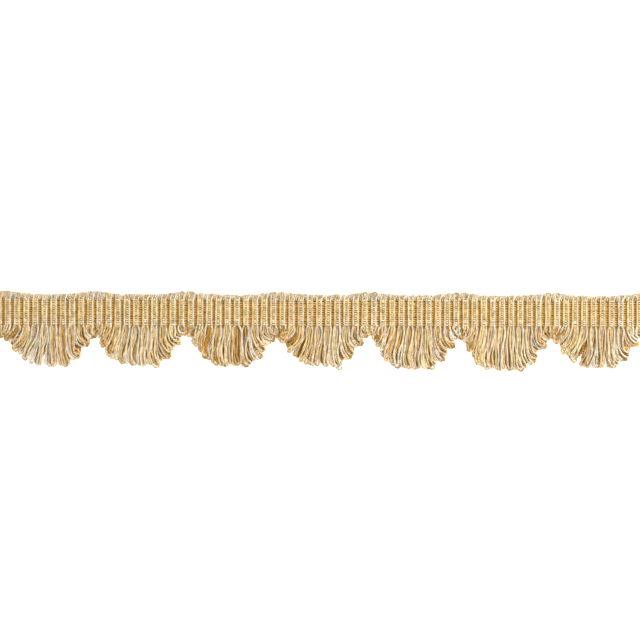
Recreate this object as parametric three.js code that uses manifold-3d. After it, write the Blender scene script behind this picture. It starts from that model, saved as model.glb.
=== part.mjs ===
// Fan edge trim: a woven, ribbed heading with looped yarn hanging from its lower edge in scallops.
// It lies flat, face up. Millimetres: +X runs along the trim, +Y towards the heading's turned
// edge, +Z up out of the face. The origin is under the middle of the piece, on its back.
import * as THREE from "three";
import { mergeVertices } from "three/addons/utils/BufferGeometryUtils.js";
import Module from "manifold-3d";

const wasm = await Module();
wasm.setup();

// Along the trim
const RIB_PITCH = 4; // one bundle of weft cords and the groove beside it
const RIBS_IN_FAN = 10;
const FAN_PITCH = RIB_PITCH * RIBS_IN_FAN;
const FAN_COUNT = 7;
const SPARE_RIBS = 1; // ribs of the next repeat, left on at the cut left end
const LENGTH = FAN_PITCH * FAN_COUNT + RIB_PITCH * SPARE_RIBS;
const LEFT_END = -LENGTH / 2;
const FIRST_VALLEY = LEFT_END + RIB_PITCH * SPARE_RIBS;

// Across the trim
const RIB_LENGTH = 11.6; // straight part of a rib, up to where its cords turn over
const TURNED_EDGE = 1.8; // width of the turned edge above the ribs
const VALLEY_RISE = 1.2; // how far the turned edge swells above each valley
const RIB_DIP = 0.3; // how far it draws in over the middle of each rib
const CREST_WIDTH = 0.8; // from the end of the ribs to the crest of the turned edge
const BACK_SETBACK = 0.5; // the back ends this far inside the outermost line

// Through the thickness
const CORD_TOP = 2.5;
const RIB_MIDDLE = 1.9; // between the two top cords of a rib
const GROOVE = 1.0; // between ribs, down on the binding threads
const FACE_HEIGHTS = [GROOVE, CORD_TOP, RIB_MIDDLE, CORD_TOP]; // at even steps across a rib
const TURN_TOP = 2.3; // crest of the turned edge
const EDGE_NOSE = 1.3; // height of its outermost line

// Loops
const STRAND_WIDTH = 1.3;
const ROOT_HALF_SPREAD = 0.95; // from a loop's middle line to each leg, at the heading
const TIP_HALF_SPREAD = 0.9;
const LOWER_LAYER = { low: 0, high: 1.0, shorter: 0.9 };
const UPPER_LAYER = { low: 1.3, high: 2.4, shorter: 0 };
const PIECE_GAP = 0.3;
const STRIP_WIDTH = 1.2; // woven edge that binds the roots of one fan's loops
const STRIP_TOP = 2.2;
const LEG_STEPS = 2; // straight lengths in one leg
const BEND_STEPS = 4;
const LEAN_START = 0.3; // share of its lean that a loop has taken at TURN_AT of its length
const TURN_AT = 0.55;

// A rib's own loop in an average fan, from the left valley to the right one. A lean is how far its
// bend lies to the right of its root, and a drop how far below the heading.
const LOOPS = [
  { lean: 0, drop: 3.4 },
  { lean: -3.2, drop: 8.6 },
  { lean: -4.6, drop: 13.0 },
  { lean: -4.7, drop: 15.9 },
  { lean: -2.8, drop: 17.3 },
  { lean: -0.5, drop: 17.8 },
  { lean: 1.5, drop: 17.5 },
  { lean: 2.1, drop: 14.6 },
  { lean: 1.7, drop: 10.4 },
  { lean: 0.3, drop: 5.6 },
];

// How each fan differs: its greatest drop, and how full its two shoulders are.
const FANS = [
  { drop: 17.9, left: 0.98, right: 1.12 },
  { drop: 17.5, left: 0.97, right: 0.87 },
  { drop: 17.4, left: 0.86, right: 1.0 },
  { drop: 17.7, left: 1.12, right: 0.87 },
  { drop: 18.4, left: 0.88, right: 1.05 },
  { drop: 18.8, left: 1.12, right: 1.08 },
  { drop: 17.7, left: 1.07, right: 0.98 },
];
const SHOULDER_RIBS = 3; // ribs on each side, next to a valley, that a shoulder takes in

// The heading's lower edge, placed so that the origin is midway across the trim.
const REACH_DOWN = Math.max(...FANS.map((fan) => fan.drop));
const HEADING_LOW = (REACH_DOWN - RIB_LENGTH - TURNED_EDGE - VALLEY_RISE) / 2;

const SAME_POINT = 1e-4; // corners nearer than this are one point of a solid

const yarn = (color, roughness) =>
  new THREE.MeshStandardMaterial({ color, roughness, metalness: 0 });

function namedMesh(name, geometry, material) {
  const mesh = new THREE.Mesh(geometry, material);
  mesh.name = name;
  return mesh;
}

// Height of the heading's face at one of its steps: groove, cord, middle, cord.
function ribHeight(x) {
  const step = Math.round(((x - LEFT_END) / RIB_PITCH) * FACE_HEIGHTS.length);
  return FACE_HEIGHTS[step % FACE_HEIGHTS.length];
}

// The turned edge rises towards each valley, and dips a little over the middle of each rib.
function edgeRise(x) {
  const turns = (x - FIRST_VALLEY) / FAN_PITCH;
  const nearValley = (0.5 + 0.5 * Math.cos(2 * Math.PI * turns)) ** 2;
  const overRib = Math.cos((2 * Math.PI * (x - LEFT_END)) / RIB_PITCH);
  return VALLEY_RISE * nearValley + (RIB_DIP / 2) * (overRib - 1);
}

// The band's cross-section is drawn across the trim, run along it, and its face raised into ribs.
function headingGeometry() {
  const turn = HEADING_LOW + RIB_LENGTH;
  const edge = turn + TURNED_EDGE;
  const section = new THREE.Shape([
    new THREE.Vector2(HEADING_LOW, 0),
    new THREE.Vector2(edge - BACK_SETBACK, 0),
    new THREE.Vector2(edge, EDGE_NOSE),
    new THREE.Vector2(turn + CREST_WIDTH, TURN_TOP),
    new THREE.Vector2(turn, CORD_TOP),
    new THREE.Vector2(HEADING_LOW, CORD_TOP),
  ]);
  const geometry = new THREE.ExtrudeGeometry(section, {
    depth: LENGTH,
    steps: (LENGTH / RIB_PITCH) * FACE_HEIGHTS.length,
    bevelEnabled: false,
  });
  const along = new THREE.Vector3(1, 0, 0);
  const across = new THREE.Vector3(0, 1, 0);
  const up = new THREE.Vector3(0, 0, 1);
  geometry.applyMatrix4(new THREE.Matrix4().makeBasis(across, up, along));
  geometry.translate(LEFT_END, 0, 0);
  const place = geometry.getAttribute("position");
  for (let i = 0; i < place.count; i += 1) {
    const [x, y, z] = [place.getX(i), place.getY(i), place.getZ(i)];
    if (y > turn + CREST_WIDTH / 2) place.setY(i, y + edgeRise(x));
    else if (z > EDGE_NOSE) place.setZ(i, ribHeight(x));
  }
  return geometry;
}

// Where a loop rooted at this distance into a fan ends. Between two ribs it lies halfway.
function loopEnd(fan, intoFan) {
  const place = Math.min(Math.max(intoFan / RIB_PITCH - 0.5, 0), RIBS_IN_FAN - 1);
  const [before, after] = [LOOPS[Math.floor(place)], LOOPS[Math.ceil(place)]];
  const share = place - Math.floor(place);
  const mix = (column) => before[column] + (after[column] - before[column]) * share;
  const deepest = Math.max(...LOOPS.map((row) => row.drop));
  const fromLeft = Math.max(0, 1 - place / SHOULDER_RIBS);
  const fromRight = Math.max(0, 1 - (RIBS_IN_FAN - 1 - place) / SHOULDER_RIBS);
  const fullness = 1 + (fan.left - 1) * fromLeft + (fan.right - 1) * fromRight;
  return {
    lean: mix("lean"),
    drop: Math.min((mix("drop") * fullness * fan.drop) / deepest, fan.drop),
  };
}

// One strand, out and back: two legs that start straight down, lean together and meet in a bend.
function loopGeometry(rootX, end, layer) {
  const rootY = HEADING_LOW - PIECE_GAP - STRIP_WIDTH / 2;
  const bend = TIP_HALF_SPREAD + STRAND_WIDTH / 2;
  const tipY = HEADING_LOW - end.drop + layer.shorter + bend;
  const root = new THREE.Vector2(rootX, rootY);
  const tip = new THREE.Vector2(rootX + end.lean, tipY);
  const turn = new THREE.Vector2(rootX + end.lean * LEAN_START, rootY + (tipY - rootY) * TURN_AT);
  const down = tip.clone().sub(turn).normalize();
  const across = new THREE.Vector2(-down.y, down.x);
  const straight = new THREE.Vector2(1, 0);
  // One edge of a leg, from the root to the bend. A negative distance is left of the middle line.
  const edge = (side, beyond) =>
    new THREE.QuadraticBezierCurve(
      root.clone().addScaledVector(straight, side * (ROOT_HALF_SPREAD + beyond)),
      turn.clone().addScaledVector(straight, side * (ROOT_HALF_SPREAD + beyond)),
      tip.clone().addScaledVector(across, side * (TIP_HALF_SPREAD + beyond)),
    ).getPoints(LEG_STEPS);
  // The way round the bend from the left leg to the right one, without its two ends.
  const round = (radius) =>
    Array.from({ length: BEND_STEPS - 1 }, (_, i) => {
      const angle = across.angle() - Math.PI * (1 - (i + 1) / BEND_STEPS);
      return tip.clone().add(new THREE.Vector2(Math.cos(angle), Math.sin(angle)).multiplyScalar(radius));
    });
  const half = STRAND_WIDTH / 2;
  const outside = [...edge(-1, half), ...round(bend), ...edge(1, half).reverse()];
  const inside = [
    ...edge(1, -half),
    ...round(TIP_HALF_SPREAD - half).reverse(),
    ...edge(-1, -half).reverse(),
  ];
  return new THREE.ExtrudeGeometry(new THREE.Shape([...outside, ...inside]), {
    depth: layer.high - layer.low,
    bevelEnabled: false,
  }).translate(0, 0, layer.low);
}

function solidOf(geometry) {
  geometry.deleteAttribute("normal");
  geometry.deleteAttribute("uv");
  const merged = mergeVertices(geometry, SAME_POINT);
  return new wasm.Manifold(
    new wasm.Mesh({
      numProp: 3,
      vertProperties: merged.getAttribute("position").array,
      triVerts: new Uint32Array(merged.index.array),
    }),
  );
}

function geometryOf(solid) {
  const { vertProperties, triVerts } = solid.getMesh();
  return new THREE.BufferGeometry()
    .setAttribute("position", new THREE.BufferAttribute(vertProperties, 3))
    .setIndex(new THREE.BufferAttribute(triVerts, 1));
}

// One fan: the strip of woven edge that its loops are bound in, and two layers of loops.
function fanGeometry(number) {
  const fan = FANS[number];
  const valley = FIRST_VALLEY + FAN_PITCH * number;
  const spare = number === 0 ? RIB_PITCH * SPARE_RIBS : PIECE_GAP / 2;
  const [low, high] = [valley - spare, valley + FAN_PITCH - PIECE_GAP / 2];
  const strip = new THREE.BoxGeometry(high - low, STRIP_WIDTH, STRIP_TOP).translate(
    (low + high) / 2,
    HEADING_LOW - PIECE_GAP - STRIP_WIDTH / 2,
    STRIP_TOP / 2,
  );
  let solid = solidOf(strip);
  const add = (geometry) => {
    solid = solid.add(solidOf(geometry));
  };
  if (number === 0)
    add(loopGeometry(valley - RIB_PITCH / 2, LOOPS[RIBS_IN_FAN - 1], UPPER_LAYER));
  for (let rib = 0; rib < RIBS_IN_FAN; rib += 1) {
    const intoFan = (rib + 0.5) * RIB_PITCH;
    add(loopGeometry(valley + intoFan, loopEnd(fan, intoFan), UPPER_LAYER));
  }
  for (let groove = 1; groove < RIBS_IN_FAN; groove += 1) {
    const intoFan = groove * RIB_PITCH;
    add(loopGeometry(valley + intoFan, loopEnd(fan, intoFan), LOWER_LAYER));
  }
  return geometryOf(solid);
}

const trim = new THREE.Group();
trim.add(namedMesh("heading", headingGeometry(), yarn("#d9bf8a", 0.55)));
for (let number = 0; number < FAN_COUNT; number += 1)
  trim.add(namedMesh(`fan_${number + 1}`, fanGeometry(number), yarn("#d8b97c", 0.5)));

export default trim;
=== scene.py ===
import math

import bpy
import numpy as np
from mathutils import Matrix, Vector


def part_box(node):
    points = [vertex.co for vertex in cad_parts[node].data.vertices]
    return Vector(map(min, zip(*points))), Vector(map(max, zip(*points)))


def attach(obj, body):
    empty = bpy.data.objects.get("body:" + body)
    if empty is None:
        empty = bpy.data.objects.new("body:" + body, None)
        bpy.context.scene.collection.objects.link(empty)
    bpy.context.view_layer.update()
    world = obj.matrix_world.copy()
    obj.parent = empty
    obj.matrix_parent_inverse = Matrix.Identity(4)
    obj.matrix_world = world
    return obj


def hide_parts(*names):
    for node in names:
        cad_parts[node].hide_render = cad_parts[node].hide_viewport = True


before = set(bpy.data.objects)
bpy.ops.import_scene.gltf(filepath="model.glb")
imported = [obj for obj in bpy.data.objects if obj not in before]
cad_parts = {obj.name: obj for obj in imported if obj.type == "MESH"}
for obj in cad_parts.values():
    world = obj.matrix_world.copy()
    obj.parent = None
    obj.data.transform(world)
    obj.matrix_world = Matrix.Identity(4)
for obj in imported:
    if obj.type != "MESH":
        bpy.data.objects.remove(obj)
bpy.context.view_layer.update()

bpy.ops.object.select_all(action="DESELECT")

# The table, the light and the camera
# A pale table top in a bright white room, with a soft box to the upper right of the trim, which
# gives the strands their lit right sides and brown left ones, and a weak one to the left.
MM = 0.001  # sizes and places are in millimetres where nothing else is said
FRAME_WIDTH = 280.4  # what the photograph shows of the trim's length
FRAME_CENTRE = (0.5, 4.7)
LENS, SENSOR = 120, 36
CAMERA_ROLL = math.radians(0.2)
TABLE_SIZE = 6  # metres
TABLE_MOTTLES = 9.0  # clouds of its faint mottling in a metre
TABLE_GLOW = 0.55
ROOM_LIGHT = 0.79


def linear(hex_colour):
    """An sRGB hex colour as the linear RGBA that a shader reads."""
    parts = [int(hex_colour[i : i + 2], 16) / 255 for i in (1, 3, 5)]
    return (*(c / 12.92 if c <= 0.04045 else ((c + 0.055) / 1.055) ** 2.4 for c in parts), 1.0)


def add_node(tree, kind, sources=None, settings=None, **values):
    """Adds a shader node. Sources go into its inputs, settings are its options, values its sockets'."""
    node = tree.nodes.new("ShaderNode" + kind)
    for key, value in (settings or {}).items():
        setattr(node, key, value)
    for key, value in values.items():
        node.inputs[key.replace("_", " ")].default_value = value
    for socket, source in (sources or {}).items():
        tree.links.new(source, node.inputs[socket])
    return node


def new_material(name):
    """An empty material and its node tree."""
    material = bpy.data.materials.new(name)
    material.use_nodes = True
    material.node_tree.nodes.clear()
    return material, material.node_tree


# White satin laminate, evenly lit. Its own glow stands for the light that the bright room sends
# under the trim, and keeps the shadows faint.
white_laminate, tree = new_material("white_satin_laminate")
place = add_node(tree, "TexCoord")
mottle = add_node(tree, "TexNoise", {"Vector": place.outputs["Object"]}, Scale=TABLE_MOTTLES)
colour = add_node(tree, "Mix", {0: mottle.outputs["Fac"]}, {"data_type": "RGBA"})
colour.inputs[6].default_value = linear("#f3f2f0")
colour.inputs[7].default_value = linear("#f9f8f6")
satin = add_node(tree, "BsdfPrincipled", {"Base Color": colour.outputs[2]}, Roughness=0.6)
satin.inputs["Emission Color"].default_value = linear("#fffefc")
satin.inputs["Emission Strength"].default_value = TABLE_GLOW
add_node(tree, "OutputMaterial", {"Surface": satin.outputs[0]})

bpy.ops.mesh.primitive_plane_add(size=TABLE_SIZE, location=(0, 0, 0))
table_top = bpy.context.object
table_top.name = "table_top"
table_top.data.materials.append(white_laminate)

room = bpy.data.worlds.new("white_room")
room.use_nodes = True
room.node_tree.nodes["Background"].inputs["Color"].default_value = linear("#fff8ec")
room.node_tree.nodes["Background"].inputs["Strength"].default_value = ROOM_LIGHT
bpy.context.scene.world = room


def soft_box(name, place, size, watts):
    """A square lamp that faces the middle of the trim. Its place and size are in metres."""
    bpy.ops.object.light_add(type="AREA", location=place)
    lamp = bpy.context.object
    lamp.name = name
    lamp.data.size = size
    lamp.data.energy = watts
    lamp.rotation_euler = (-Vector(place)).to_track_quat("-Z", "Y").to_euler()


soft_box("soft_box_right", place=(0.85, 0.5, 0.8), size=0.45, watts=20.5)
soft_box("soft_box_left", place=(-0.9, -0.3, 0.9), size=0.8, watts=2)
bpy.context.scene.view_settings.view_transform = "Standard"

bpy.ops.object.camera_add()
camera = bpy.context.object
camera.location = (FRAME_CENTRE[0] * MM, FRAME_CENTRE[1] * MM, FRAME_WIDTH * MM * LENS / SENSOR)
camera.rotation_euler = (0, 0, CAMERA_ROLL)
camera.data.lens = LENS
camera.data.sensor_width = SENSOR
bpy.context.scene.camera = camera

# The ground cloth
# A tight plain band of fine yarn, as long as the trim, which lies under the ribs and makes the back
# of the heading. It is woven together with the ribs, and shows only at the bottom of the grooves.
heading_low, heading_high = (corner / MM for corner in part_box("heading"))
LEFT_CUT, RIGHT_CUT = heading_low.x, heading_high.x
LOWER_EDGE = heading_low.y
RIBS_IN_FAN, FAN_COUNT, SPARE_RIBS = 10, 7, 1
RIB_COUNT = RIBS_IN_FAN * FAN_COUNT + SPARE_RIBS
RIB_PITCH = (RIGHT_CUT - LEFT_CUT) / RIB_COUNT
RIB_LENGTH = 11.6  # straight part of a rib, up to where its cords turn over
GROUND_LOW, GROUND_HIGH = 0.1, 0.6
GROUND_OVER = 0.6  # how far it runs on under the turned edge
GROUND_THREAD = 0.5
GROUND_WAVE = 0.05  # how far it rises in each groove
GROUND_STEPS = (4 * RIB_COUNT, 12)  # of its mesh, along and across

# Mercerised cotton, woven tight, with the threads in its relief. Its dull golden brown is painted
# shade, that at the bottom of the grooves, and the hollows between its threads are painted darker.
painted_shade_ground, tree = new_material("cotton_ground_weave")
place = add_node(tree, "TexCoord")
axes = add_node(tree, "SeparateXYZ", {0: place.outputs["Object"]})
waves = []
for axis in ("X", "Y"):
    turns = add_node(tree, "Math", {0: axes.outputs[axis]}, {"operation": "MULTIPLY"})
    turns.inputs[1].default_value = 2 * math.pi / (GROUND_THREAD * MM)
    waves.append(add_node(tree, "Math", {0: turns.outputs[0]}, {"operation": "SINE"}))
weave = add_node(
    tree, "Math", {0: waves[0].outputs[0], 1: waves[1].outputs[0]}, {"operation": "MULTIPLY"}
)
crest = add_node(tree, "MapRange", {"Value": weave.outputs[0]})
crest.inputs["From Min"].default_value = -1.0
# Painted shade: darker in the hollows of the weave, lighter on its crests.
colour = add_node(tree, "Mix", {0: crest.outputs[0]}, {"data_type": "RGBA"})
colour.inputs[6].default_value = linear("#7d5a20")
colour.inputs[7].default_value = linear("#a27a34")
relief = add_node(tree, "Bump", {"Height": crest.outputs[0]}, Strength=0.6, Distance=0.1 * MM)
dull = add_node(
    tree, "BsdfPrincipled", {"Base Color": colour.outputs[2], "Normal": relief.outputs[0]}, Roughness=0.75
)
add_node(tree, "OutputMaterial", {"Surface": dull.outputs[0]})

ground_width = RIB_LENGTH + GROUND_OVER
bpy.ops.mesh.primitive_grid_add(x_subdivisions=GROUND_STEPS[0], y_subdivisions=GROUND_STEPS[1], size=1)
ground = bpy.context.object
ground.name = "ground_cloth"
ground.scale = ((RIGHT_CUT - LEFT_CUT) * MM, ground_width * MM, 1)
ground.location = (0, (LOWER_EDGE + ground_width / 2) * MM, (GROUND_LOW + GROUND_HIGH) / 2 * MM)
bpy.ops.object.transform_apply(location=True, rotation=True, scale=True)
for vertex in ground.data.vertices:
    into_rib = (vertex.co.x / MM - LEFT_CUT) / RIB_PITCH
    vertex.co.z += GROUND_WAVE * MM * math.cos(2 * math.pi * into_rib)
wall = ground.modifiers.new("thickness", "SOLIDIFY")
wall.thickness = (GROUND_HIGH - GROUND_LOW) * MM
wall.offset = 0
bpy.ops.object.modifier_apply(modifier=wall.name)
ground.data.materials.append(painted_shade_ground)
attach(ground, "root")
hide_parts("heading")

# The weft cords
# One yarn of three plies, about a millimetre thick, runs to and fro for the whole length: over the
# turned edge, down the face of a rib as its left cord, out of the heading as a loop, up again as
# the right cord, and over the edge to the next rib. Two more strands fill each rib from below.
CORD_RADIUS = 0.5
CORD_PLACES = (-0.97, 0.9)  # of a rib's two cords, from its middle line
CORD_HEIGHT = 1.95
CORD_POINTS = 11
CORD_ASTRAY, CORD_SWING = 0.05, 0.02  # as a whole, and from one point of it to the next
FILLER_RADIUS, FILLER_SPREAD, FILLER_HEIGHT = 0.5, 0.6, 1.1
FILLER_SECTION, FILLER_STEP = np.ones(8), 4.0
TURN_LINE = LOWER_EDGE + RIB_LENGTH
ARCH_HEIGHT = 1.35  # of the weft's middle line over the turn line, where it passes to the next rib
ARCH_POINTS = 12  # of half an arch
ARCH_SLANT = 0.35  # how far the top of an arch leans to the right
ARCH_ROLL = 0.35  # how far it rolls down towards the back
VALLEY_SWELL = 1.15  # how much higher the turned edge is above a valley of the scallops
EDGE_ASTRAY = 0.18  # how unevenly high the turned edge is
# Painted shade: the dye is darkened where the yarn rolls over the turned edge, within a height.
EDGE_PAINTED_SHADE, EDGE_FADE = np.array([0.87, 0.88, 0.9]), 0.6  # of the dye, and within what height
FIRST_VALLEY = LEFT_CUT + SPARE_RIBS * RIB_PITCH
FAN_PITCH = RIBS_IN_FAN * RIB_PITCH
PLY_SECTION = np.tile([1.0, 0.84, 0.46, 0.84], 3)  # from the crest of a ply round to the next ones
LAY = 3.4  # length in which the plies turn once
RING_STEP = 0.42
# Painted shade: the dye is darkened deep in the grooves between two plies, where shade falls.
PLY_GROOVE_PAINTED_SHADE = np.array([0.4, 0.26, 0.06])  # of the dye, deep between two plies
# Painted shade: the dye turns darker and warmer towards the underside of a strand.
UNDERSIDE_PAINTED_SHADE = np.array([0.64, 0.46, 0.14])  # on the underside of a strand
DYES = {
    "ivory": linear("#fffaee"),
    "cream": linear("#fff3da"),
    "straw": linear("#fde9b9"),
    "ash": linear("#f2e7d4"),
    "rose": linear("#f6dfbb"),
    "peach": linear("#f4d6a2"),
    "tan": linear("#e6bf70"),
    "gold": linear("#c7993f"),
}
DYE_UNEVENNESS, BRIGHTEST_DYE = 0.06, 0.97
chance = np.random.default_rng(5)


def near_valley(x):
    """1 above a valley of the scallops, and 0 in the middle of a fan."""
    return (0.5 + 0.5 * math.cos(2 * math.pi * (x - FIRST_VALLEY) / FAN_PITCH)) ** 2


def dye(*names):
    """One of these dyes at random, a little lighter or darker than its name says."""
    colour = np.array(DYES[chance.choice(names)][:3])
    return np.minimum(colour * chance.normal(1.0, DYE_UNEVENNESS), BRIGHTEST_DYE)


def length_of(path):
    """The length of a path of points."""
    return float(np.linalg.norm(np.diff(path, axis=0), axis=1).sum())


def between_cuts(path):
    """The part of a path that lies between the trim's two cut ends."""
    return path[(path[:, 0] > LEFT_CUT) & (path[:, 0] < RIGHT_CUT)]


def strands_mesh(name, strands, section, lay, step):
    """Makes one piece of many strands. Each is a section that is swept along a path and twisted.

    A strand is a dict: path in millimetres, dyes (one colour, or one for each point of the path),
    radius, turn (where its twist starts), flat (its height over its width) and lay, if these are
    its own. A lay of 0 leaves the strands untwisted. Their rings are a step apart, or at the points
    of the path where the step is 0. The dyes of some strands carry painted light and shade, and the
    colour attribute "dye" holds them darkened by the painted shade of the ply grooves and undersides.
    """
    sides = len(section)
    crest = (section - PLY_SECTION.min()) / (1 - PLY_SECTION.min())
    shade = PLY_GROOVE_PAINTED_SHADE + (1 - PLY_GROOVE_PAINTED_SHADE) * crest[:, None]
    places, faces, maps, colours = [], [], [], []
    first = 0
    for strand in strands:
        # The middle line and its dyes, at each ring.
        path = np.asarray(strand["path"], float)
        dyes = np.broadcast_to(strand["dyes"], (len(path), 3))
        along = np.concatenate([[0], np.cumsum(np.linalg.norm(np.diff(path, axis=0), axis=1))])
        rings = max(int(round(along[-1] / step)), 2) + 1 if step else len(path)
        at = np.linspace(0, along[-1], rings) if step else along
        path = np.stack([np.interp(at, along, path[:, i]) for i in range(3)], axis=1)
        dyes = np.stack([np.interp(at, along, dyes[:, i]) for i in range(3)], axis=1)

        # The twisted sections, and at each of their corners the painted shade that darkens the dye: deep
        # between the plies and towards the strand's underside.
        tangent = np.gradient(path, axis=0)
        tangent /= np.linalg.norm(tangent, axis=1, keepdims=True)
        side = np.cross(tangent, [0.0, 0.0, 1.0])
        side /= np.linalg.norm(side, axis=1, keepdims=True)
        rise = np.cross(side, tangent)
        turns = at / strand.get("lay", lay) if lay else 0 * at
        angle = strand["turn"] + 2 * np.pi * (turns[:, None] + np.arange(sides) / sides)
        out = strand["radius"] * section
        ring = (out * np.cos(angle))[..., None] * side[:, None]
        ring = ring + (out * np.sin(angle) * strand.get("flat", 1.0))[..., None] * rise[:, None]
        places.append((path[:, None] + ring).reshape(-1, 3))
        top = 0.5 + 0.5 * np.sin(angle)[..., None]
        colours.append((dyes[:, None] * shade[None] * (UNDERSIDE_PAINTED_SHADE + (1 - UNDERSIDE_PAINTED_SHADE) * top)).reshape(-1, 3))

        # The faces between the rings, and the map, which is in millimetres along the strand.
        i, j = np.meshgrid(np.arange(rings - 1), np.arange(sides), indexing="ij")
        beside = (j + 1) % sides
        corners = [i * sides + j, i * sides + beside, (i + 1) * sides + beside, (i + 1) * sides + j]
        faces.extend((np.stack(corners, -1).reshape(-1, 4) + first).tolist())
        u = np.stack([at[i], at[i], at[i + 1], at[i + 1]], -1)
        v = np.stack([j, j + 1, j + 1, j], -1) / sides
        maps.append(np.stack([u, v], -1).reshape(-1, 2))

        # The two cut ends.
        faces.append(list(range(first + sides - 1, first - 1, -1)))
        faces.append(list(range(first + (rings - 1) * sides, first + rings * sides)))
        cap = np.stack([np.zeros(sides), np.arange(sides) / sides], -1)
        maps.extend([cap, cap + [at[-1], 0]])
        first += rings * sides
    mesh = bpy.data.meshes.new(name)
    mesh.from_pydata((np.concatenate(places) * MM).tolist(), [], faces)
    mesh.shade_smooth()
    mesh.uv_layers.new(name="strand").uv.foreach_set("vector", np.concatenate(maps).astype("f4").ravel())
    # The colour attribute "dye" holds the dyes with their painted light and shade.
    rgba = np.concatenate([np.concatenate(colours), np.ones((first, 1))], axis=1).astype("f4")
    mesh.color_attributes.new("dye", "FLOAT_COLOR", "POINT").data.foreach_set("color", rgba.ravel())
    piece = bpy.data.objects.new(name, mesh)
    bpy.context.collection.objects.link(piece)
    return piece


# Viscose, bright and silky, its dye uneven along its length. Its filaments are about 0.02 mm thick
# and are drawn as streaks of 0.1 mm, so that they show. Its colour attribute brings in the painted
# light and shade of the strands.
STREAKS_ALONG, STREAKS_ROUND = 0.7, 30.0  # in a millimetre of a strand, and in one turn round it
BLOTCH = 1.4
viscose_yarn, tree = new_material("twisted_viscose_yarn")
dye_and_painted_light = add_node(tree, "Attribute", None, {"attribute_name": "dye"})
strand_map = add_node(tree, "UVMap", None, {"uv_map": "strand"})
streaks = add_node(
    tree, "Mapping", {"Vector": strand_map.outputs[0]}, Scale=(STREAKS_ALONG, STREAKS_ROUND, 1.0)
)
fibres = add_node(tree, "TexNoise", {"Vector": streaks.outputs[0]}, Scale=1.0, Detail=2.0)
place = add_node(tree, "TexCoord")
blotches = add_node(
    tree, "TexNoise", {"Vector": place.outputs["Object"]}, Scale=1 / (BLOTCH * MM), Detail=3.0
)
uneven = add_node(
    tree, "Math", {0: fibres.outputs["Fac"], 1: blotches.outputs["Fac"]}, {"operation": "ADD"}
)
tone = add_node(tree, "MapRange", {"Value": uneven.outputs[0]})
for socket, value in {"From Min": 0.72, "From Max": 1.28, "To Min": 0.5, "To Max": 1.32}.items():
    tone.inputs[socket].default_value = value
colour = add_node(
    tree, "VectorMath", {0: dye_and_painted_light.outputs["Color"], "Scale": tone.outputs[0]}, {"operation": "SCALE"}
)
relief = add_node(tree, "Bump", {"Height": fibres.outputs["Fac"]}, Strength=0.5, Distance=0.05 * MM)
silky = add_node(
    tree,
    "BsdfPrincipled",
    {"Base Color": colour.outputs[0], "Normal": relief.outputs[0]},
    Roughness=0.34,
    Specular_IOR_Level=0.35,
)
add_node(tree, "OutputMaterial", {"Surface": silky.outputs[0]})


def arch(x_from, x_to, height, part):
    """Half of the weft's way over the turned edge: up to the middle, or down from it."""
    first, last = (0, 0.5) if part == "up" else (0.5, 1)
    t = np.linspace(first, last, ARCH_POINTS)
    bow = np.sin(np.pi * t)
    x = x_from + (x_to - x_from) * (0.5 - 0.5 * np.cos(np.pi * t)) + ARCH_SLANT * bow
    return np.stack([x, TURN_LINE + height * bow, CORD_HEIGHT - ARCH_ROLL * bow], axis=1)


cords = []
fillers = []
loop_starts = []  # where each rib's yarn leaves the heading, for the loops
arch_heights = [
    ARCH_HEIGHT + VALLEY_SWELL * near_valley(LEFT_CUT + RIB_PITCH * n) + chance.normal(0, EDGE_ASTRAY)
    for n in range(RIB_COUNT + 1)
]
for rib in range(RIB_COUNT):
    middle = LEFT_CUT + (rib + 0.5) * RIB_PITCH
    left, right = middle + np.array(CORD_PLACES) + chance.normal(0, CORD_ASTRAY, 2)
    over = RIB_PITCH - (right - left)
    rows = np.linspace(TURN_LINE, LOWER_EDGE, CORD_POINTS + 1)[1:]
    swing = np.cumsum(chance.normal(0, CORD_SWING, CORD_POINTS))
    level = np.full(CORD_POINTS, CORD_HEIGHT)
    going_down = np.stack([left + swing, rows, level], axis=1)
    going_up = np.stack([right - swing, rows, level], axis=1)[::-1]
    down = np.concatenate([arch(left - over, left, arch_heights[rib], "down"), going_down])
    up = np.concatenate([going_up, arch(right, right + over, arch_heights[rib + 1], "up")])
    down, up = between_cuts(down), between_cuts(up)
    start = {
        "left": down[-1][0],
        "right": up[0][0],
        "left_dye": dye("cream", "straw", "straw"),
        # Painted light: the right cord takes a paler dye than the left one, for the lit right side of the
        # rib.
        "right_dye_painted_light": dye("ivory", "ivory", "cream"),
        "left_turn": chance.uniform(0, 2 * math.pi),
        "right_turn": chance.uniform(0, 2 * math.pi),
    }
    for path, strand_dye, turn in (
        (down, start["left_dye"], start["left_turn"] - 2 * math.pi * length_of(down) / LAY),
        (up, start["right_dye_painted_light"], start["right_turn"]),
    ):
        # Painted shade on the cords as they roll over the edge.
        over_edge = np.clip((path[:, 1] - TURN_LINE) / EDGE_FADE, 0, 1)[:, None]
        dyes = strand_dye * (1 - (1 - EDGE_PAINTED_SHADE) * over_edge)
        cords.append({"path": path, "radius": CORD_RADIUS, "dyes": dyes, "turn": turn})
    for side in (-1, 1):
        x = middle + side * FILLER_SPREAD
        path = [(x, TURN_LINE, FILLER_HEIGHT), (x, LOWER_EDGE, FILLER_HEIGHT)]
        fillers.append({"path": path, "radius": FILLER_RADIUS, "dyes": dye("tan", "peach"), "turn": 0.0})
    loop_starts.append(start)

weft = strands_mesh("weft_cords", cords, PLY_SECTION, LAY, RING_STEP)
weft_fill = strands_mesh("weft_filling", fillers, FILLER_SECTION, 0, FILLER_STEP)
for piece in (weft, weft_fill):
    piece.data.materials.append(viscose_yarn)
    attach(piece, "root")
    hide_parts("heading")

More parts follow.
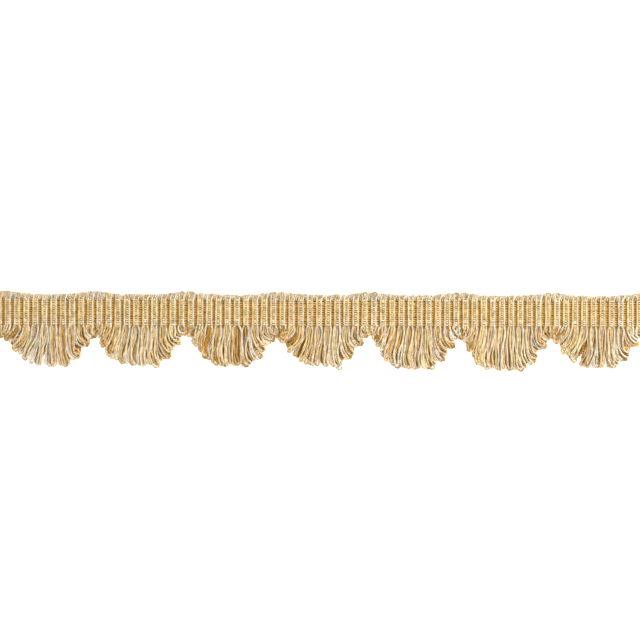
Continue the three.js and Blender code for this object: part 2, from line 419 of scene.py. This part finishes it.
# The turned edge
# Behind the arches of the weft, the strands that fill the ribs roll over the edge side by side,
# slanting to the right, and go down to the back. Above a valley they stand out further, and the
# weft makes two small bows.
EDGE_STRANDS_IN_RIB = 4
EDGE_RADIUS = 0.52
EDGE_START = -0.5  # from the turn line
EDGE_REACH = 1.75
EDGE_SLANT = 0.9
EDGE_TOP, EDGE_BACK = 1.55, 0.5
EDGE_OUTERMOST = 0.75  # the share of a strand's way in which it gets to its furthest point
EDGE_FALL = 2.2  # the power of its way down to the back, slow at first
EDGE_TWIST = 6  # radians, the furthest round that a strand's twist starts
EDGE_SHIFT, SLANT_ASTRAY, TOP_ASTRAY = 0.07, 0.3, 0.15
EDGE_POINTS, FEWEST_POINTS = 14, 4  # of a strand, and of what is left of one at a cut end
EDGE_DYES = ("ash", "rose", "ash", "rose", "peach", "cream")
HUMPS = (  # the bows over a valley: how far aside, half as wide, and how high they are
    (-1.8, 1.4, 2.2),
    (-1.7, 0.5, 1.4),
    (2.1, 1.5, 2.3),
    (2.0, 0.6, 1.5),
)
HUMP_START, HUMP_HEIGHT = 1.0, 1.7
HUMP_ASTRAY, HUMP_UNEVENNESS = 0.15, 0.1
HUMP_DYES = ("ivory", "ash", "rose")
edge_strands = []


def add_edge_strand(path, dye_names):
    """Adds a strand to the turned edge, if enough of it is left between the cut ends."""
    path = between_cuts(path)
    if len(path) >= FEWEST_POINTS:
        # Painted shade of the turned edge, on its strands.
        edge_dye_and_painted_shade = EDGE_PAINTED_SHADE * dye(*dye_names)
        turn = chance.uniform(0, EDGE_TWIST)
        edge_strands.append({"path": path, "radius": EDGE_RADIUS, "dyes": edge_dye_and_painted_shade, "turn": turn})


for number in range(RIB_COUNT * EDGE_STRANDS_IN_RIB):
    x = LEFT_CUT + (number + 0.5) * RIB_PITCH / EDGE_STRANDS_IN_RIB + chance.normal(0, EDGE_SHIFT)
    reach = EDGE_REACH + VALLEY_SWELL * near_valley(x) + chance.normal(0, EDGE_ASTRAY)
    slant = EDGE_SLANT + chance.normal(0, SLANT_ASTRAY)
    top = EDGE_TOP + chance.normal(0, TOP_ASTRAY)
    t = np.linspace(0, 1, EDGE_POINTS)
    round_edge = np.sin(0.5 * np.pi * np.minimum(t / EDGE_OUTERMOST, 1))
    y = TURN_LINE + EDGE_START + (reach - EDGE_START) * round_edge
    z = top - (top - EDGE_BACK) * t**EDGE_FALL
    add_edge_strand(np.stack([x - slant / 2 + slant * t, y, z], axis=1), EDGE_DYES)

# The weft's bows above the valleys.
for valley in range(FAN_COUNT + 1):
    for aside, half_width, height in HUMPS:
        t = np.linspace(0, math.pi, EDGE_POINTS)
        x = FIRST_VALLEY + valley * FAN_PITCH + aside - half_width * np.cos(t)
        x = x + chance.normal(0, HUMP_ASTRAY)
        y = TURN_LINE + HUMP_START + height * np.sin(t) + chance.normal(0, HUMP_UNEVENNESS)
        add_edge_strand(np.stack([x, y, HUMP_HEIGHT + 0 * t], axis=1), HUMP_DYES)
turned_edge = strands_mesh("turned_edge", edge_strands, PLY_SECTION, LAY, RING_STEP)
turned_edge.data.materials.append(viscose_yarn)
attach(turned_edge, "root")
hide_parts("heading")

# The warp threads
# Twelve thin threads run the whole length and bind the ribs down: over the middle of each rib,
# between its two cords, and deep under the cords into the groove. The lowest three and the
# uppermost are paler.
WARP_COUNT = 12
WARP_PITCH = RIB_LENGTH / WARP_COUNT
WARP_RADIUS, WARP_FLATNESS = 0.35, 0.75
WARP_SECTION = np.ones(6)
WARP_LOW, WARP_HIGH = 1.35, 2.05
WARP_STEPS = np.array([-0.5, -0.27, -0.18, -0.13, -0.07, 0.07, 0.13, 0.18, 0.27]) * RIB_PITCH
WARP_TOP = 0.145 * RIB_PITCH  # half of the stretch in which a thread lies on top of a rib
RISE_UNEVENNESS, WARP_WOBBLE, WARP_DYE_UNEVENNESS = 0.04, 0.05, 0.08
PALE_ROWS = (0, 1, 2, WARP_COUNT - 1)
WARP_DYES = {
    "olive": np.array(linear("#e0c78b")[:3]),
    "pale": np.array(linear("#eaddc8")[:3]),
    "shaded": np.array(linear("#e6ba66")[:3]),
}
warp_threads = []
over_rib = np.exp(-((WARP_STEPS / WARP_TOP) ** 4))
for row in range(WARP_COUNT):
    y = LOWER_EDGE + (row + 0.5) * WARP_PITCH
    points, dyes = [], []
    for rib in range(RIB_COUNT):
        x = LEFT_CUT + (rib + 0.5) * RIB_PITCH + WARP_STEPS
        rise = over_rib * (WARP_HIGH - WARP_LOW) * chance.normal(1, RISE_UNEVENNESS)
        astray = np.full(len(x), chance.normal(0, WARP_WOBBLE))
        points.append(np.stack([x, y + astray, WARP_LOW + rise], axis=1))
        face = WARP_DYES["pale" if row in PALE_ROWS else "olive"]
        face = face * chance.normal(1, WARP_DYE_UNEVENNESS)
        share = over_rib[:, None]
        dyes.append(WARP_DYES["shaded"] * (1 - share) + face * share)
    warp_threads.append(
        {
            "path": np.concatenate(points),
            "radius": WARP_RADIUS,
            "flat": WARP_FLATNESS,
            "dyes": np.concatenate(dyes),
            "turn": 0.0,
        }
    )
warp = strands_mesh("warp_threads", warp_threads, WARP_SECTION, 0, 0)
warp.data.materials.append(viscose_yarn)
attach(warp, "root")
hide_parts("heading")

# The fans
# Below the heading the weft hangs out in loops, short at the valleys and long in the middle, so
# that every ten ribs make one scallop. Seven loops to a rib lie over each other on the table. They
# spread to both sides, and in some fans those of the left half curl back to the right.

# A loop's place is counted in ribs from the left valley. For some places this gives how far the
# loops lean and which way they point, in millimetres and degrees to the right, and the length of
# their bent end.
LOOPS = np.array(
    [
        (-0.5, 0.3, 20, 2.0),
        (0.0, -1.8, -35, 3.0),
        (1.0, -4.6, -48, 4.0),
        (2.0, -6.1, -45, 6.0),
        (3.0, -5.0, -32, 6.5),
        (4.0, -2.9, -14, 6.5),
        (5.0, -0.3, 10, 5.0),
        (6.0, 2.8, 44, 4.5),
        (7.0, 4.2, 62, 4.0),
        (8.0, 3.1, 68, 3.4),
        (9.0, 1.5, 60, 2.6),
    ]
)

# How deep a fan is at the edges of its ribs.
OUTLINE = (4.3, 9.8, 14.8, 17.5, 18.4, 18.5, 18.6, 18.6, 15.4, 9.3, 3.5)
SHORT_SHARES = {0: 0.5, 1: 0.75}  # of the outline, for the top loops of the first ribs

# How full the shoulders of each fan are, how much its left half curls back, how its right half
# sways, the ribs whose loops stand out as rings, and those whose loops lie open, with how wide.
FANS = [
    {"left": 1.1, "right": 1.05, "curl": 0.0, "sway": 0.0, "rings": (7,), "open": {}},
    {"left": 0.95, "right": 0.9, "curl": 0.8, "sway": 0.0, "rings": (6,), "open": {4: 1.5, 6: 1.1}},
    {"left": 0.84, "right": 1.0, "curl": 1.0, "sway": 0.6, "rings": (7,), "open": {3: 1.3, 5: 1.9}},
    {"left": 1.12, "right": 0.86, "curl": 0.1, "sway": -0.8, "rings": (6, 7), "open": {}},
    {"left": 0.86, "right": 1.02, "curl": 0.8, "sway": 0.0, "rings": (6,), "open": {4: 1.2}},
    {"left": 1.1, "right": 1.05, "curl": 1.0, "sway": 0.2, "rings": (7,), "open": {2: 1.3}},
    {"left": 1.07, "right": 0.98, "curl": 0.0, "sway": 0.0, "rings": (7,), "open": {}},
]
SHOULDER_RIBS = 3  # how many ribs from its valley a shoulder reaches
LOOSE = 0.4  # how far the longest loops reach past the solid
CURLED_RIBS = 5
CURL_LEAN, CURL_POINTS, CURL_LOSS = 4.5, 70, 0.5  # added to lean and pointing, off the bent end
RING_SPREAD, RING_REACH = 1.0, 0.9
SHORTEST = 2.8
LOOP_RADIUS = 0.47
LOOP_POINTS, BEND_POINTS = 40, 7  # of a leg, and of the bend between the legs
SHOULDER_DROP, SHOULDER_SHARE = 1.5, 0.3  # how far down the shoulder is, and its share of a short loop
WAIST_SHARE = 0.75
ROOT_PULL, HOOK_SHARE = 0.4, 0.45  # of a loop's reach: its straight root, and its longest bent end
WAVES = (8, 16)  # the shortest and longest waves in a leg
WOBBLE = 0.25  # how far the waves go to each side
UNEVEN_DROP, UNEVEN_HEIGHT, UNEVEN_TIP = 0.3, 0.13, (-0.15, 0.25)
MOST_ROLL = 0.6  # radians, of a loop's tip about its middle line
TABLE_CLEARANCE = 0.02
ROOT_ASTRAY, ROOT_DEEPER = 0.1, 0.6  # of the lower loops, sideways and up into the heading
DYE_FADE = 0.2  # the share of a top loop in which the dye of its rib's cord gives way to its own
# Painted shade: the loops that leave a groove are darkened brown just below the heading, where the groove
# shades them.
RIB_GROOVE_END = 2.6  # how far below the heading its grooves still show, as a brown shade
RIB_GROOVE_PAINTED_SHADE = np.array([0.66, 0.54, 0.38])

# The layers of loops, from the top down, with the curled ones over them last. Place and root say
# how far aside of a rib, in ribs, the loops lie and leave the heading. From and shorter are how far
# up inside the heading they start, and how much shorter than the outline they are. Heights and
# spreads are those at the root, the shoulder, the waist and the tip. Wider is the scatter of the
# waist, and astray that of lean and pointing.
# The lower layers take more tan and gold: partly the yarn's own colours, partly painted shade for loops
# that lie under others.
TOP_LAYER = {  # from a rib's two cords, whose legs go aside and meet those of the next ribs
    "place": 0.0,
    "root": 0.0,
    "from": 0.0,
    "shorter": 0.0,
    "heights": (CORD_HEIGHT, 1.9, 1.8, 1.45),
    "spreads": (0.0, 1.4, 0.8, 0.75),  # at the root it is that of the cords
    "wider": (-0.25, 0.35),
    "astray": (0.4, 12),
    "radius": CORD_RADIUS,
    "dyes": ("ivory", "cream", "straw", "ivory", "cream", "rose"),
}
GROOVE_LAYER = {  # from the groove, under these meeting legs
    "place": -0.5,
    "root": -0.5,
    "from": 0.8,
    "shorter": 0.2,
    "heights": (0.75, 1.15, 1.75, 1.3),
    "spreads": (0.28, 0.4, 0.56, 0.7),
    "wider": (-0.06, 0.1),
    "astray": (0.3, 8),
    "dyes": ("straw", "cream", "rose", "ivory", "peach"),
}
MIDDLE_LAYER = {  # from between the two cords
    "place": 0.25,
    "root": 0.0,
    "from": 0.5,
    "shorter": 0.1,
    "heights": (1.1, 1.5, 1.45, 1.15),
    "spreads": (0.35, 0.45, 0.55, 0.75),
    "wider": (-0.06, 0.1),
    "astray": (0.3, 8),
    "dyes": ("peach", "tan", "straw", "rose", "straw"),
}
LOWER_LAYER = {  # from the rib again, spread wide below the others
    "place": -0.25,
    "root": -0.12,
    "from": 0.0,
    "shorter": 0.1,
    "heights": (1.1, 0.95, 0.95, 0.75),
    "spreads": (0.3, 0.9, 1.0, 1.0),
    "wider": (-0.06, 0.1),
    "astray": (0.3, 8),
    "dyes": ("tan", "straw", "cream", "tan"),
}
UNDER_LAYER = {  # on the table, pressed flat. Its loops are drawn thicker and with fewer corners
    "root": 0.0,
    "from": 0.0,
    "shorter": 1.8,
    "heights": (0.58, 0.58, 0.58, 0.58),
    "spreads": (0.95, 1.05, 1.0, 0.7),
    "wider": (-0.06, 0.1),
    "astray": (0.15, 8),
    # Their gold and tan are partly the yarn's own colours and partly painted shade, for the many deep
    # layers that these few flat loops stand for.
    "dyes": ("gold", "tan", "gold"),
    "radius": 0.8,
    "flat": 0.65,
}
CURLED_LAYER = {  # more loops over the first ribs of a fan, which lean further to the left
    "root": 0.1,
    "from": 0.0,
    "shorter": 0.0,
    "heights": (1.6, 1.95, 1.95, 1.5),
    "spreads": (0.4, 0.5, 0.5, 0.9),
    "wider": (-0.06, 0.1),
    "astray": (0.3, 8),
    "dyes": ("tan", "peach", "straw", "gold"),
}
LAYERS = (TOP_LAYER, GROOVE_LAYER, MIDDLE_LAYER, LOWER_LAYER)
UNDER_LAYERS = [{"place": place, **UNDER_LAYER} for place in (0.1, -0.25, -0.6)]
UNDER_SECTION = np.tile([1.0, 0.6], 3)
CURLED_LOOPS = (  # their place, and how much more they lean and point to the right
    (0.2, -1.6, -30),
    (0.7, -1.8, -28),
    (1.3, -1.4, -30),
    (1.8, -1.0, -26),
    (2.4, -0.6, -20),
)


def eased(t):
    """Goes from 0 to 1 with a slow start and end."""
    return t * t * (3 - 2 * t)


def loop_end(fan, place, astray):
    """How far a loop at this place leans and drops, which way it points, and its bent length."""
    lean, points, hook = (np.interp(place, LOOPS[:, 0], LOOPS[:, i]) for i in (1, 2, 3))
    inside = min(max(place, 0), RIBS_IN_FAN - 1)
    curl = FANS[fan]["curl"] * max(0, math.sin(math.pi * min(inside / CURLED_RIBS, 1)))
    sway = FANS[fan]["sway"] * inside / RIBS_IN_FAN
    lean += CURL_LEAN * curl + sway + astray
    reach = LOWER_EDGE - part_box(f"fan_{fan + 1}")[0].y / MM + LOOSE
    drop = np.interp(place + 0.5 + lean / RIB_PITCH, range(RIBS_IN_FAN + 1), OUTLINE)
    fullness = 1 + (FANS[fan]["left"] - 1) * max(0, 1 - inside / SHOULDER_RIBS)
    fullness += (FANS[fan]["right"] - 1) * max(0, 1 - (RIBS_IN_FAN - 1 - inside) / SHOULDER_RIBS)
    drop = min(drop * fullness * reach / max(OUTLINE), reach)
    hook *= 1 - CURL_LOSS * curl
    return {"lean": lean, "drop": drop, "points": points + CURL_POINTS * curl, "hook": hook}


def loop_path(root, end, heights, spreads, roll):
    """The way of a loop's middle line: down one leg, round the bend, and up the other leg."""
    angle = math.radians(end["points"])
    pointing = np.array([math.sin(angle), -math.cos(angle), 0.0])
    start = np.array([*root, 0.0])
    tip = np.array([root[0] + end["lean"], LOWER_EDGE - end["drop"], 0.0])
    tip = tip - (spreads[3] + LOOP_RADIUS) * pointing
    reach = float(np.linalg.norm(tip - start))
    hook = min(end["hook"], HOOK_SHARE * reach)
    # A Bezier curve from the root to the tip, with its heights and spreads laid on afterwards.
    controls = [start, start + [0, -ROOT_PULL * reach, 0], tip - hook * pointing, tip]
    t = np.linspace(0, 1, LOOP_POINTS)
    weights = [(1 - t) ** 3, 3 * (1 - t) ** 2 * t, 3 * (1 - t) * t**2, t**3]
    spine = sum(weight[:, None] * control for weight, control in zip(weights, controls))
    tangent = np.gradient(spine, axis=0)
    tangent /= np.linalg.norm(tangent, axis=1, keepdims=True)
    knots = (0, min(SHOULDER_DROP / reach, SHOULDER_SHARE), WAIST_SHARE, 1)
    spine[:, 2] = np.interp(t, knots, heights)
    spread = np.interp(t, knots, spreads)
    rolled = roll * eased(t)
    level = np.cos(rolled)
    across = np.stack([-tangent[:, 1] * level, tangent[:, 0] * level, np.sin(rolled)], axis=1)
    legs = []
    for side in (-1, 1):
        wave, phase = chance.uniform(*WAVES, 2), chance.uniform(0, 2 * math.pi, 2)
        wobble = np.sin(2 * math.pi * reach * t[:, None] / wave + phase)
        leg = spine + side * spread[:, None] * across
        leg[:, :2] += WOBBLE * np.sin(np.pi * t)[:, None] * wobble
        legs.append(leg)
    bend = np.linspace(np.pi, 0, BEND_POINTS + 2)[1:-1, None]
    turn = spine[-1] + spreads[3] * (np.cos(bend) * across[-1] + np.sin(bend) * pointing)
    path = np.concatenate([legs[0], turn, legs[1][::-1]])
    path[:, 2] = np.maximum(path[:, 2], min(LOOP_RADIUS + TABLE_CLEARANCE, heights[3]))
    return path


def yarn_loop(layer, fan, rib, place, more_lean=0, more_points=0):
    """One loop, as a strand. It leaves the heading at a rib, and lies like the loops of its place."""
    top, under = layer is TOP_LAYER, layer in UNDER_LAYERS
    start = loop_starts[SPARE_RIBS + fan * RIBS_IN_FAN + rib]
    if rib < 0:
        place += RIBS_IN_FAN  # the spare rib is the last one of a fan that was cut off
    end = loop_end(fan, place, more_lean + chance.normal(0, layer["astray"][0]))
    if top:
        end["drop"] *= SHORT_SHARES.get(rib, 1)
        end["lean"] *= SHORT_SHARES.get(rib, 1) ** 2
    end["drop"] = max(end["drop"] - layer["shorter"] + chance.normal(0, UNEVEN_DROP), SHORTEST)
    end["points"] += more_points + chance.normal(0, layer["astray"][1])
    root = [(start["left"] + start["right"]) / 2, LOWER_EDGE + layer["from"]]
    heights = np.array(layer["heights"]) + [0, *chance.normal(0, UNEVEN_HEIGHT, 3)]
    wider = [0, 0, chance.uniform(*layer["wider"]), chance.uniform(*UNEVEN_TIP)]
    spreads = np.array(layer["spreads"]) + wider
    roll = chance.choice([-1, 1]) * chance.uniform(0.0, MOST_ROLL)
    if top:
        spreads[0] = (start["right"] - start["left"]) / 2
    else:
        root[0] += layer["root"] * RIB_PITCH + chance.normal(0, ROOT_ASTRAY)
        root[1] += chance.uniform(0, ROOT_DEEPER)
    if under:
        heights, roll = np.array(layer["heights"]), 0
    if top and rib in FANS[fan]["rings"]:
        spreads[3], roll = RING_SPREAD, 0
        end["drop"] += RING_REACH
    if top and rib in FANS[fan]["open"]:
        spreads[1:], roll = FANS[fan]["open"][rib], 0
    path = loop_path(root, end, heights, spreads, roll)
    loop = {
        "path": path,
        "radius": layer.get("radius", LOOP_RADIUS),
        "flat": layer.get("flat", 1.0),
        "dyes": dye(*layer["dyes"]),
        "turn": start["left_turn"],
    }
    if top:  # at both ends the loop goes on from its rib's cords in dye and in twist
        share = np.linspace(0, 1, len(path))[:, None]
        # The cords' dyes carry the right cord's painted light into the loop's ends.
        cords_dye_and_painted_light = np.where(share < 0.5, start["left_dye"], start["right_dye_painted_light"])
        fade = np.clip(np.minimum(share, 1 - share) / DYE_FADE, 0, 1)
        loop["dyes"] = cords_dye_and_painted_light + (loop["dyes"] - cords_dye_and_painted_light) * fade
        turns = (start["right_turn"] - start["left_turn"]) / (2 * math.pi)
        turns += round(length_of(path) / LAY - turns)
        loop["lay"] = length_of(path) / turns
    elif layer is GROOVE_LAYER:
        # Painted shade where the loop leaves the groove, fading out further down.
        below = np.clip((LOWER_EDGE - path[:, 1:2]) / RIB_GROOVE_END, 0, 1)
        loop["dyes"] = loop["dyes"] * (RIB_GROOVE_PAINTED_SHADE + (1 - RIB_GROOVE_PAINTED_SHADE) * below)
    return loop


def layers_of_loops(layers, fan):
    """All loops of these layers in one fan, and in the first fan those of the spare rib too."""
    ribs = range(-SPARE_RIBS if fan == 0 else 0, RIBS_IN_FAN)
    return [yarn_loop(layer, fan, rib, rib + layer["place"]) for layer in layers for rib in ribs]


for fan in range(FAN_COUNT):
    loops = layers_of_loops(LAYERS, fan)
    under_loops = layers_of_loops(UNDER_LAYERS, fan)
    for place, more_lean, more_points in CURLED_LOOPS:
        loops.append(yarn_loop(CURLED_LAYER, fan, round(place), place, more_lean, more_points))
    for piece in (
        strands_mesh(f"fan_{fan + 1}_loops", loops, PLY_SECTION, LAY, RING_STEP),
        strands_mesh(f"fan_{fan + 1}_under_loops", under_loops, UNDER_SECTION, LAY, RING_STEP),
    ):
        piece.data.materials.append(viscose_yarn)
        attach(piece, "root")
        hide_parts(f"fan_{fan + 1}")
